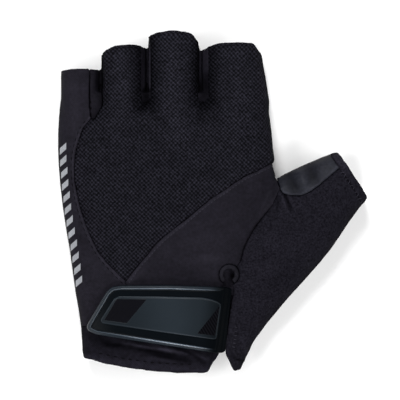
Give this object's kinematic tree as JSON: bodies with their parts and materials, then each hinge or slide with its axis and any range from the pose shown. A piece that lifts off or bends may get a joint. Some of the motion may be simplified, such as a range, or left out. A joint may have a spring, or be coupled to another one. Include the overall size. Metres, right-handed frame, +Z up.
{
  "type": "cycling glove",
  "caption": "Short-finger cycling glove for the left hand with a mesh back, suede palm and a moulded pull-tab strap across a keyhole wrist slit.",
  "frame": {"origin": "middle of the bounding box in plan, on the surface that the palm rests on", "axes": "+Y towards the fingertips, +X towards the thumb side, +Z up out of the back of the hand"},
  "size_m": [0.1424, 0.1564, 0.028],
  "materials": {
    "back_mesh_panel": "open air-mesh knit, matt",
    "outer_side_panel": "smooth elastane, matt",
    "wrist_back_panel": "smooth elastane, matt",
    "thumb_back_panel": "microfibre suede, matt",
    "thumb_gusset": "satin elastane, soft sheen",
    "palm_panel": "padded microfibre suede, matt",
    "fourchette_little_ring": "smooth elastane, matt",
    "fourchette_ring_middle": "smooth elastane, matt",
    "fourchette_middle_index": "smooth elastane, matt",
    "thumb_hem": "knit hem with cover stitching",
    "cuff": "elastic knit",
    "keyhole_binding": "woven binding tape",
    "strap_web": "woven strap",
    "strap_tab": "moulded rubber, satin",
    "strap_plate": "moulded rubber, satin",
    "strap_inlay": "moulded rubber, matt"
  },
  "bodies": {
    "root": {"back_mesh_panel": "back_mesh_panel", "outer_side_panel": "outer_side_panel", "wrist_back_panel": "wrist_back_panel", "thumb_back_panel": "thumb_back_panel", "thumb_gusset": "thumb_gusset", "palm_panel": "palm_panel", "fourchette_little_ring": "fourchette_little_ring", "fourchette_ring_middle": "fourchette_ring_middle", "fourchette_middle_index": "fourchette_middle_index", "thumb_hem": "thumb_hem", "cuff": "cuff", "keyhole_binding": "keyhole_binding", "strap_web": "strap_web", "strap_tab": "strap_tab", "strap_plate": "strap_plate", "strap_inlay": "strap_inlay"}
  },
  "joints": []
}
